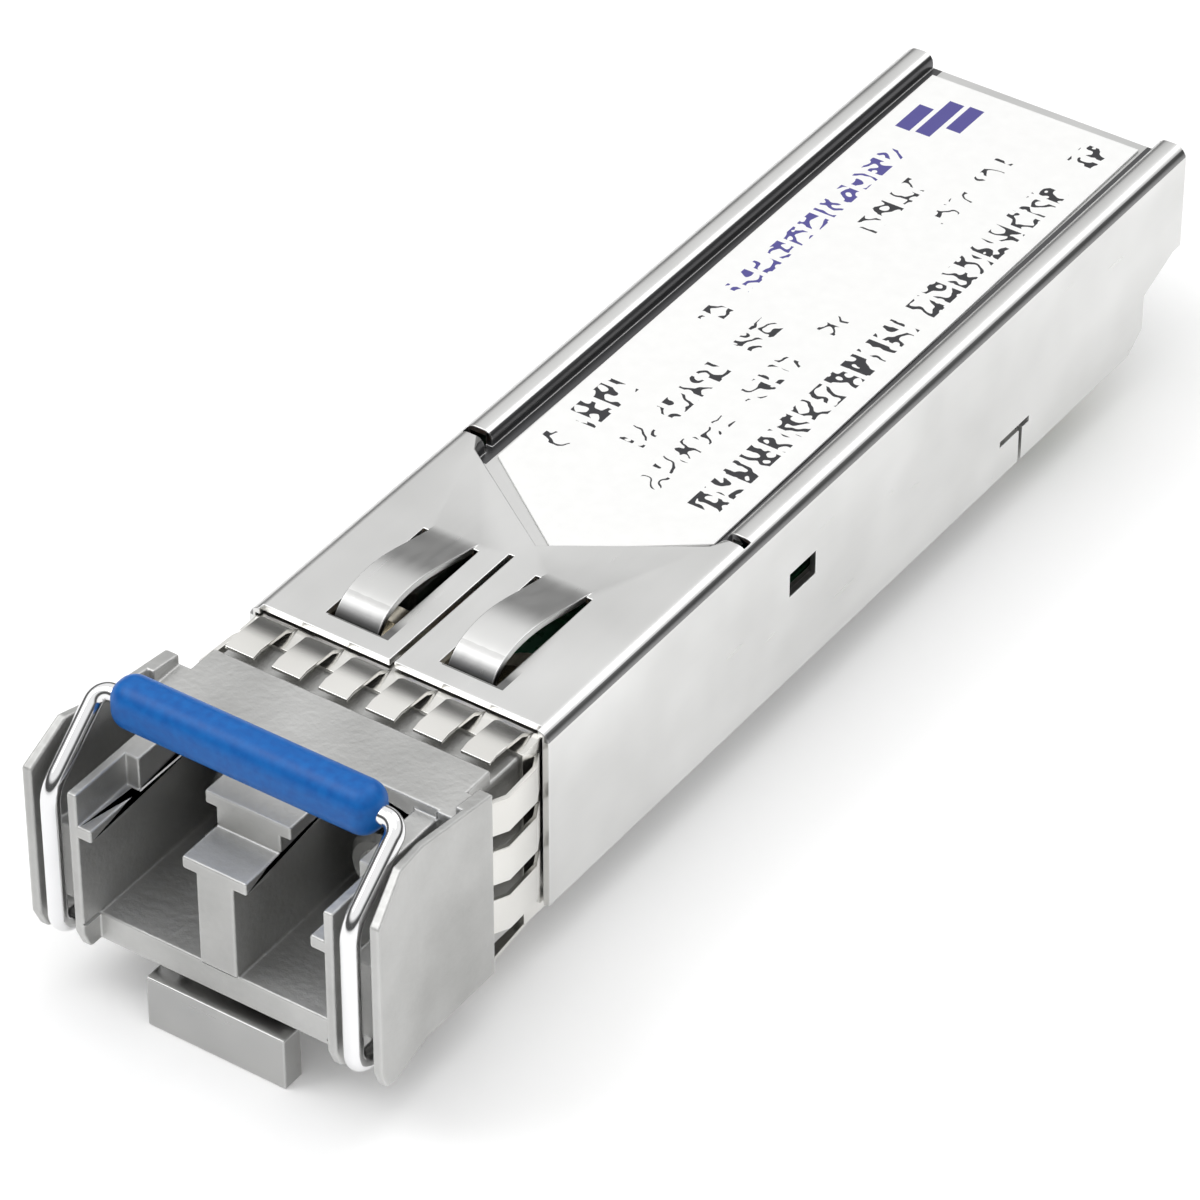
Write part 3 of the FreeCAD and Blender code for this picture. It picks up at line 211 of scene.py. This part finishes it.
# grain is the noise scale per metre, bump is in metres, stretch draws the grain out along an axis
# in three of these looks the corners are lightened, a painted highlight together with polish from handling
metalLooks = {
    "castZinc": {"dark": (0.46, 0.46, 0.45), "light": (0.60, 0.60, 0.59), "roughness": (0.46, 0.62),
                 "grain": 3400, "bump": 0.00007, "wornAndHighlit": (0.80, 0.80, 0.79), "wearAndHighlightWidth": 0.00024},
    "coverSteel": {"dark": (0.66, 0.66, 0.65), "light": (0.78, 0.78, 0.77), "roughness": (0.24, 0.36),
                   "grain": 3000, "stretch": (1, 0.06, 1), "bump": 0.000006,
                   "wornAndHighlit": (0.92, 0.92, 0.92), "wearAndHighlightWidth": 0.00012,
                   "paintedShades": (
                       # painted shade on the walls of the label bed, standing in for the shadow in the
                       # recess
                       {"across": (4.90, 5.60), "along": (-3.9, 28.8), "height": (9.70, 10.30),
                        "colour": (0.115, 0.115, 0.118)},
                       # a painted dark reflection along the outer bend above each side
                       {"across": (6.50, 6.72), "along": (-16.5, 28.8), "height": (9.95, 10.27),
                        "colour": (0.24, 0.24, 0.24)},
                       # painted shade at the front ends of the two contact springs, fading out towards the
                       # tail
                       {"across": (1.20, 3.90), "along": (-15.3, -13.9), "height": (9.60, 10.95),
                        "fade": (-14.75, -14.0), "strength": 0.85, "colour": (0.09, 0.09, 0.09)},
                   )},
    "fingerSteel": {"dark": (0.70, 0.69, 0.66), "light": (0.84, 0.83, 0.80), "roughness": (0.18, 0.28),
                    "grain": 3000, "stretch": (0.2, 1, 1), "bump": 0.000005},
    "bailSteel": {"dark": (0.78, 0.78, 0.79), "light": (0.90, 0.90, 0.90), "roughness": (0.08, 0.16),
                  "grain": 2000, "bump": 0.000003},
    "latchSteel": {"dark": (0.36, 0.36, 0.36), "light": (0.50, 0.50, 0.49), "roughness": (0.24, 0.36),
                   "grain": 2500, "stretch": (0.1, 1, 1), "bump": 0.000008,
                   "wornAndHighlit": (0.88, 0.88, 0.88), "wearAndHighlightWidth": 0.00015},
    "pinSteel": {"dark": (0.50, 0.50, 0.50), "light": (0.66, 0.66, 0.66), "roughness": (0.20, 0.32),
                 "grain": 2600, "stretch": (0.1, 1, 1), "bump": 0.000005},
    "barrelSteel": {"dark": (0.56, 0.56, 0.55), "light": (0.72, 0.72, 0.71), "roughness": (0.16, 0.30),
                    "grain": 2400, "stretch": (1, 12, 1), "bump": 0.000006},
    "canSteel": {"dark": (0.60, 0.56, 0.48), "light": (0.80, 0.74, 0.60), "roughness": (0.18, 0.30),
                 "grain": 1800, "bump": 0.000005},
    "contactGold": {"dark": (0.72, 0.48, 0.16), "light": (0.90, 0.64, 0.26), "roughness": (0.14, 0.28),
                    "grain": 2600, "stretch": (1, 0.1, 1), "bump": 0.000003},
}
mouldedLooks = {
    "blueGrip": {"dark": (0.001, 0.090, 0.36), "light": (0.002, 0.125, 0.44), "roughness": (0.34, 0.46),
                 "grain": 2600, "bump": 0.000008, "gloss": 0.28},
    "zirconia": {"dark": (0.80, 0.79, 0.76), "light": (0.90, 0.89, 0.87), "roughness": (0.10, 0.20),
                 "grain": 3000, "bump": 0.000002, "coat": 0.3, "coatRoughness": 0.12},
    "lensGlass": {"dark": (0.82, 0.88, 0.92), "light": (0.90, 0.94, 0.97), "roughness": (0.02, 0.06),
                  "grain": 900, "bump": 0.000001, "seeThrough": 0.9},
    "retainerPlastic": {"dark": (0.030, 0.030, 0.032), "light": (0.060, 0.060, 0.062),
                        "roughness": (0.42, 0.56), "grain": 2200, "bump": 0.00002},
    "chipBlack": {"dark": (0.018, 0.018, 0.019), "light": (0.042, 0.042, 0.043), "roughness": (0.46, 0.62),
                  "grain": 4200, "bump": 0.00001},
    "gapPad": {"dark": (0.40, 0.30, 0.36), "light": (0.52, 0.40, 0.47), "roughness": (0.62, 0.80),
               "grain": 1500, "bump": 0.00003},
}
materials = {name: metalFinish(name, look) for name, look in metalLooks.items()}
materials.update({name: mouldedFinish(name, look) for name, look in mouldedLooks.items()})


def boardFinish():
    look = {"mask": (0.010, 0.120, 0.050), "track": (0.025, 0.210, 0.085), "pitch": 0.9 * millimetre,
            "roughness": (0.22, 0.36), "bump": 0.02 * millimetre}
    material, tree, shader, place = newMaterial("boardGreen")
    tracks = tree.nodes.new("ShaderNodeTexBrick")
    tracks.inputs["Scale"].default_value = 1.0
    tracks.inputs["Brick Width"].default_value = look["pitch"] * 6
    tracks.inputs["Row Height"].default_value = look["pitch"]
    tracks.inputs["Mortar Size"].default_value = look["pitch"] * 0.12
    tracks.inputs["Color1"].default_value = (*look["mask"], 1)
    tracks.inputs["Color2"].default_value = (*(value * 1.2 for value in look["mask"]), 1)
    tracks.inputs["Mortar"].default_value = (*look["track"], 1)
    tree.links.new(mappedPlace(tree, place, turn=math.pi / 2), tracks.inputs["Vector"])
    tree.links.new(tracks.outputs["Color"], shader.inputs["Base Color"])
    fine = noiseNode(tree, place, 2500)
    tree.links.new(rangeNode(tree, fine, *look["roughness"]), shader.inputs["Roughness"])
    bumpNode(tree, shader, tracks.outputs["Fac"], 0.3, look["bump"])
    return material


def flexFinish():
    look = {"film": (0.42, 0.17, 0.02), "copper": (0.62, 0.30, 0.10), "lines": 1400,
            "roughness": (0.25, 0.40), "bump": 0.01 * millimetre}
    material, tree, shader, place = newMaterial("flexFilm")
    wave = tree.nodes.new("ShaderNodeTexWave")
    wave.bands_direction = "X"
    wave.inputs["Scale"].default_value = look["lines"] / 6
    tree.links.new(place, wave.inputs["Vector"])
    colour = colourRamp(tree, wave.outputs["Fac"], [(0.0, look["film"]), (0.55, look["copper"])], True)
    tree.links.new(colour, shader.inputs["Base Color"])
    fine = noiseNode(tree, place, 2400)
    tree.links.new(rangeNode(tree, fine, *look["roughness"]), shader.inputs["Roughness"])
    bumpNode(tree, shader, wave.outputs["Fac"], 0.2, look["bump"])
    return material


def ceramicFinish():
    look = {"body": (0.46, 0.30, 0.17), "cap": (0.62, 0.62, 0.61), "cells": 700,
            "roughness": (0.30, 0.45), "bump": 0.01 * millimetre}
    material, tree, shader, place = newMaterial("passiveCeramic")
    cells = cellNode(tree, place, look["cells"])
    colour = colourRamp(tree, cells, [(0.10, look["body"]), (0.62, look["cap"])])
    tree.links.new(colour, shader.inputs["Base Color"])
    fine = noiseNode(tree, place, 3200)
    tree.links.new(rangeNode(tree, fine, *look["roughness"]), shader.inputs["Roughness"])
    bumpNode(tree, shader, fine, 0.3, look["bump"])
    return material


materials["boardGreen"] = boardFinish()
materials["flexFilm"] = flexFinish()
materials["passiveCeramic"] = ceramicFinish()

# inner pieces keep their CAD shape and only get a finish
finishes = {
    "latch_pivot_pin": "pinSteel", "latch_spring": "fingerSteel",
    "tosa_barrel": "barrelSteel", "rosa_barrel": "barrelSteel",
    "tosa_split_sleeve": "zirconia", "rosa_split_sleeve": "zirconia",
    "tosa_can": "canSteel", "rosa_can": "canSteel",
    "tosa_flex": "flexFilm", "rosa_flex": "flexFilm",
    "tosa_fibre_stub": "zirconia", "rosa_lens": "lensGlass",
    "osa_retainer": "retainerPlastic", "main_pcb": "boardGreen", "edge_contacts": "contactGold",
    "laser_driver_ic": "chipBlack", "limiting_amp_ic": "chipBlack", "controller_ic": "chipBlack",
    "memory_ic": "chipBlack", "chip_passives": "passiveCeramic", "thermal_pad": "gapPad",
}
for name, finish in finishes.items():
    mesh = nodes[name].data
    mesh.materials.clear()
    mesh.materials.append(materials[finish])
print("finishes set on", len(finishes), "carried nodes")


def onlySelect(piece):
    bpy.ops.object.select_all(action="DESELECT")
    piece.select_set(True)
    bpy.context.view_layer.objects.active = piece


merging = {"reach": 0.001 * millimetre, "flat": 1}  # flat in degrees


def copyOfNode(nodeName, pieceName):
    # the CAD mesh is loose triangles, so the copy is merged and its flats made whole
    piece = bpy.data.objects.new(pieceName, nodes[nodeName].data.copy())
    bpy.context.scene.collection.objects.link(piece)
    onlySelect(piece)
    piece.data.materials.clear()
    bpy.ops.mesh.customdata_custom_splitnormals_clear()
    bpy.ops.object.mode_set(mode="EDIT")
    bpy.ops.mesh.select_all(action="SELECT")
    bpy.ops.mesh.remove_doubles(threshold=merging["reach"])
    bpy.ops.mesh.dissolve_limited(angle_limit=math.radians(merging["flat"]))
    bpy.ops.object.mode_set(mode="OBJECT")
    return piece


def softenEdges(piece, width, segments=2, angle=32):
    onlySelect(piece)
    bevel = piece.modifiers.new("softEdges", "BEVEL")
    bevel.width = width
    bevel.segments = segments
    bevel.limit_method = "ANGLE"
    bevel.angle_limit = math.radians(angle)
    bevel.use_clamp_overlap = False
    bevel.harden_normals = True
    bpy.ops.object.shade_smooth_by_angle(angle=math.radians(angle))
    bpy.ops.object.modifier_apply(modifier=bevel.name)


def finishPiece(piece, body, slotName, finish, *standsFor):
    onlySelect(piece)
    bpy.ops.object.transform_apply(location=True, rotation=True, scale=True)
    piece.data.materials.clear()
    piece.data.materials.append(materials[finish])
    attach(piece, body)
    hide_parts(*standsFor)


# soft is the width of the round on each piece's sharp edges
edgeWork = {
    "die_cast_base": {"piece": "castBase", "body": "housing", "slot": "cast_zinc",
                      "finish": "castZinc", "soft": 0.09 * millimetre, "segments": 2},
    "shield_cover": {"piece": "steelCover", "body": "housing", "slot": "cover_steel",
                     "finish": "coverSteel", "soft": 0.04 * millimetre, "segments": 2},
    "emi_collar": {"piece": "fingerCollar", "body": "housing", "slot": "spring_steel",
                   "finish": "fingerSteel", "soft": 0.03 * millimetre, "segments": 1},
    "latch_lever": {"piece": "latchLever", "body": "latch", "slot": "latch_steel",
                    "finish": "latchSteel", "soft": 0.06 * millimetre, "segments": 2},
}
# the cover's rails round over into the label bed, and its lower hem is turned slightly
railEdge = {"width": 1.35 * millimetre, "bedDepth": 0.65 * millimetre, "near": 0.02 * millimetre,
            "round": 0.42 * millimetre, "segments": 4, "hem": 0.16 * millimetre, "hemSegments": 3}


def roundEdges(piece, width, segments, chosen):
    onlySelect(piece)
    bpy.ops.object.mode_set(mode="EDIT")
    bpy.ops.mesh.select_all(action="DESELECT")
    bpy.ops.object.mode_set(mode="OBJECT")
    corners = piece.data.vertices
    for edge in piece.data.edges:  # only edges that run along the module
        ends = [corners[index].co for index in edge.vertices]
        along = abs(ends[1].y - ends[0].y) > 0.9 * (ends[1] - ends[0]).length
        edge.select = along and all(chosen(end) for end in ends)
    bpy.ops.object.mode_set(mode="EDIT")
    bpy.ops.mesh.select_mode(type="EDGE")
    bpy.ops.mesh.bevel(offset=width, segments=segments, affect="EDGES", clamp_overlap=False)
    bpy.ops.object.mode_set(mode="OBJECT")


def roundRails(piece):
    low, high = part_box("shield_cover")
    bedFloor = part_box("label")[0].z
    railInner = high.x - railEdge["width"]
    railTop = bedFloor + railEdge["bedDepth"]
    near = railEdge["near"]
    roundEdges(piece, railEdge["round"], railEdge["segments"], lambda end: (
        abs(abs(end.x) - railInner) < near and abs(end.z - railTop) < near))
    roundEdges(piece, railEdge["hem"], railEdge["hemSegments"], lambda end: (
        abs(abs(end.x) - high.x) < near and abs(end.z - low.z) < near))


for nodeName, work in edgeWork.items():
    piece = copyOfNode(nodeName, work["piece"])
    if nodeName == "shield_cover":
        roundRails(piece)
    softenEdges(piece, work["soft"], work["segments"])
    finishPiece(piece, work["body"], work["slot"], work["finish"], nodeName)
    print(work["piece"], "has", len(piece.data.polygons), "faces")


bailLook = {"smooth": 50}  # degrees, so that the wire is smooth and its cut ends stay crisp


def smoothWire():
    wire = copyOfNode("bail_wire", "bailWire")
    onlySelect(wire)
    bpy.ops.object.shade_smooth_by_angle(angle=math.radians(bailLook["smooth"]))
    finishPiece(wire, "bail", "bail_steel", "bailSteel", "bail_wire")
    print("bail wire has", len(wire.data.polygons), "faces")


# slim is a share of the CAD sleeve's height and depth
grip = {"round": 0.82 * millimetre, "segments": 8, "angle": 30, "slim": 0.94}


def roundedGrip():
    low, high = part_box("bail_sleeve")
    middle, size = (low + high) / 2, high - low
    bpy.ops.object.select_all(action="DESELECT")
    bpy.ops.mesh.primitive_cube_add(size=1, location=middle)
    piece = bpy.context.object
    piece.name = "gripSleeve"
    piece.scale = (size.x, size.y * grip["slim"], size.z * grip["slim"])
    bpy.ops.object.transform_apply(location=True, rotation=True, scale=True)
    softenEdges(piece, grip["round"], grip["segments"], grip["angle"])
    finishPiece(piece, "bail", "blue_plastic", "blueGrip", "bail_sleeve")
    print("grip sleeve has", len(piece.data.polygons), "faces")


smoothWire()
roundedGrip()


labelLook = {
    "paper": (0.86, 0.86, 0.85), "ink": (0.022, 0.022, 0.026), "violet": (0.075, 0.065, 0.270),
    "stroke": 1500, "signPitch": 1.18 * millimetre, "signShare": 0.78, "edge": 0.03 * millimetre,
    "rows": (
        # middle across, half height, start and end along, ink, stroke weight
        (3.45, 0.66, -1.7, 12.6, "ink", 0.075),
        (3.45, 0.66, 13.5, 23.8, "ink", 0.070),
        (3.35, 0.60, 25.9, 27.3, "ink", 0.050),
        (0.95, 0.52, -1.9, 3.6, "ink", 0.034),
        (1.05, 0.52, 4.9, 8.2, "ink", 0.050),
        (1.15, 0.40, 10.4, 11.6, "ink", 0.034),
        (-1.05, 0.55, 0.2, 1.4, "ink", 0.036),
        (-1.00, 0.55, 2.4, 6.2, "ink", 0.060),
        (-0.90, 0.55, 7.7, 9.9, "ink", 0.046),
        (-3.55, 0.60, -1.8, -0.8, "ink", 0.036),
        (-3.45, 0.72, 0.2, 3.2, "ink", 0.080),
        (-3.10, 0.50, 8.4, 9.6, "ink", 0.060),
        (-1.35, 0.52, 17.1, 21.2, "ink", 0.050),
        (0.75, 0.42, 19.2, 24.4, "ink", 0.036),
        (-3.30, 0.50, 10.7, 22.6, "violet", 0.070),
    ),
    "swatches": (
        # middle across, middle along, half length, half width
        (-3.95, 25.0, 0.95, 0.34), (-3.05, 25.5, 1.35, 0.34), (-2.15, 26.0, 0.95, 0.34),
    ),
}


def paperFinish():
    # each row is a strip of thin noise contours, cut into signs, so it reads as print but says nothing
    look = labelLook
    material, tree, shader, place = newMaterial("labelPaper")
    axes = tree.nodes.new("ShaderNodeSeparateXYZ")
    tree.links.new(place, axes.inputs["Vector"])
    across, along = axes.outputs["X"], axes.outputs["Y"]
    scribble = noiseNode(tree, place, look["stroke"], 0.5)
    fromLine = mathNode(tree, "ABSOLUTE", mathNode(tree, "SUBTRACT", scribble, 0.5))
    measured = mathNode(tree, "ADD", along, 1.0)  # kept above zero for the fraction
    signs = mathNode(tree, "FRACT", mathNode(tree, "DIVIDE", measured, look["signPitch"]))
    gaps = mathNode(tree, "LESS_THAN", signs, look["signShare"])
    printed = {"ink": None, "violet": None}
    for middle, half, start, end, ink, weight in look["rows"]:
        row = bandMask(tree, across, middle * millimetre, half * millimetre)
        reach = bandMask(tree, along, (start + end) / 2 * millimetre, (end - start) / 2 * millimetre)
        stroke = mathNode(tree, "LESS_THAN", fromLine, weight)
        mark = mathNode(tree, "MULTIPLY", mathNode(tree, "MULTIPLY", row, reach),
                        mathNode(tree, "MULTIPLY", stroke, gaps))
        printed[ink] = mark if printed[ink] is None else mathNode(tree, "MAXIMUM", printed[ink], mark)
    for middle, centre, long, wide in look["swatches"]:
        bar = mathNode(tree, "MULTIPLY", bandMask(tree, across, middle * millimetre, wide * millimetre),
                       bandMask(tree, along, centre * millimetre, long * millimetre))
        printed["violet"] = mathNode(tree, "MAXIMUM", printed["violet"], bar)
    fibre = noiseNode(tree, place, 1800, 4.0)
    shaded = tuple(value * 0.97 for value in look["paper"])
    paper = colourRamp(tree, fibre, [(0.3, shaded), (0.7, look["paper"])])
    colour = mixColour(tree, printed["ink"], paper, look["ink"])
    colour = mixColour(tree, printed["violet"], colour, look["violet"])
    tree.links.new(colour, shader.inputs["Base Color"])
    tree.links.new(rangeNode(tree, fibre, 0.38, 0.52), shader.inputs["Roughness"])
    bumpNode(tree, shader, fibre, 0.2, 0.000006)
    return material


materials["labelPaper"] = paperFinish()
sheet = copyOfNode("label", "paperLabel")
softenEdges(sheet, labelLook["edge"])
finishPiece(sheet, "housing", "label_paper", "labelPaper", "label")
print("label printed with", len(labelLook["rows"]), "rows of plain marks")


view = {
    "azimuth": 34.46, "elevation": 38.32, "distance": 239.6 * millimetre,
    "target": Vector((-0.07, -3.31, 4.97)) * millimetre,
    "lens": 188.9, "sensor": 36, "nearest": 0.01, "farthest": 10,
}
studio = {
    "lamps": (
        # name, azimuth, elevation, distance, width, power
        ("keySoftbox", -50, 52, 0.50, 0.24, 0.62),
        ("rimSoftbox", 165, 50, 0.55, 0.24, 0.30),
        ("topSoftbox", 20, 85, 0.50, 0.30, 0.32),
    ),
    # how far up a direction points, and how bright the room is there: the dark band shapes the metal
    "room": ((0.0, 0.92), (0.05, 0.92), (0.10, 0.07), (0.38, 0.105), (0.54, 1.0), (1.0, 1.0)),
    "floor": {"size": 8, "colour": (0.92, 0.92, 0.92), "roughness": 0.9, "glow": 0.12},
}


def lookFrom(azimuth, elevation, distance):
    turn, rise = math.radians(azimuth), math.radians(elevation)
    back = Vector((math.sin(turn) * math.cos(rise), -math.cos(turn) * math.cos(rise), math.sin(rise)))
    return view["target"] + back * distance, (math.pi / 2 - rise, 0, turn)


def paleRoom():
    world = bpy.data.worlds.new("paleRoom")
    bpy.context.scene.world = world
    world.use_nodes = True
    tree = world.node_tree
    direction = tree.nodes.new("ShaderNodeTexCoord")
    axes = tree.nodes.new("ShaderNodeSeparateXYZ")
    tree.links.new(direction.outputs["Generated"], axes.inputs["Vector"])
    colour = colourRamp(tree, axes.outputs["Z"], [(rise, (bright,) * 3) for rise, bright in studio["room"]])
    tree.links.new(colour, tree.nodes["Background"].inputs["Color"])


def layFloor():
    look = studio["floor"]
    bpy.ops.object.select_all(action="DESELECT")
    bpy.ops.mesh.primitive_plane_add(size=look["size"], location=(0, 0, 0))
    floor = bpy.context.object
    floor.name = "paleFloor"
    material, tree, shader, place = newMaterial("paleFloor")
    shader.inputs["Base Color"].default_value = (*look["colour"], 1)
    shader.inputs["Roughness"].default_value = look["roughness"]
    shader.inputs["Emission Color"].default_value = (1, 1, 1, 1)
    shader.inputs["Emission Strength"].default_value = look["glow"]
    floor.data.materials.append(material)


def aimCamera():
    place, turn = lookFrom(view["azimuth"], view["elevation"], view["distance"])
    bpy.ops.object.camera_add(location=place, rotation=turn)
    camera = bpy.context.object
    camera.data.lens = view["lens"]
    camera.data.sensor_width = view["sensor"]
    camera.data.clip_start = view["nearest"]
    camera.data.clip_end = view["farthest"]
    bpy.context.scene.camera = camera


def hangLamps():
    for name, azimuth, elevation, distance, width, power in studio["lamps"]:
        place, turn = lookFrom(azimuth, elevation, distance)
        bpy.ops.object.light_add(type="AREA", location=place, rotation=turn)
        lamp = bpy.context.object
        lamp.name = name
        lamp.data.shape = "SQUARE"
        lamp.data.size = width
        lamp.data.energy = power


layFloor()
aimCamera()
hangLamps()
paleRoom()
bpy.context.scene.view_settings.view_transform = "Standard"
print("floor, camera and", len(studio["lamps"]), "lamps set")
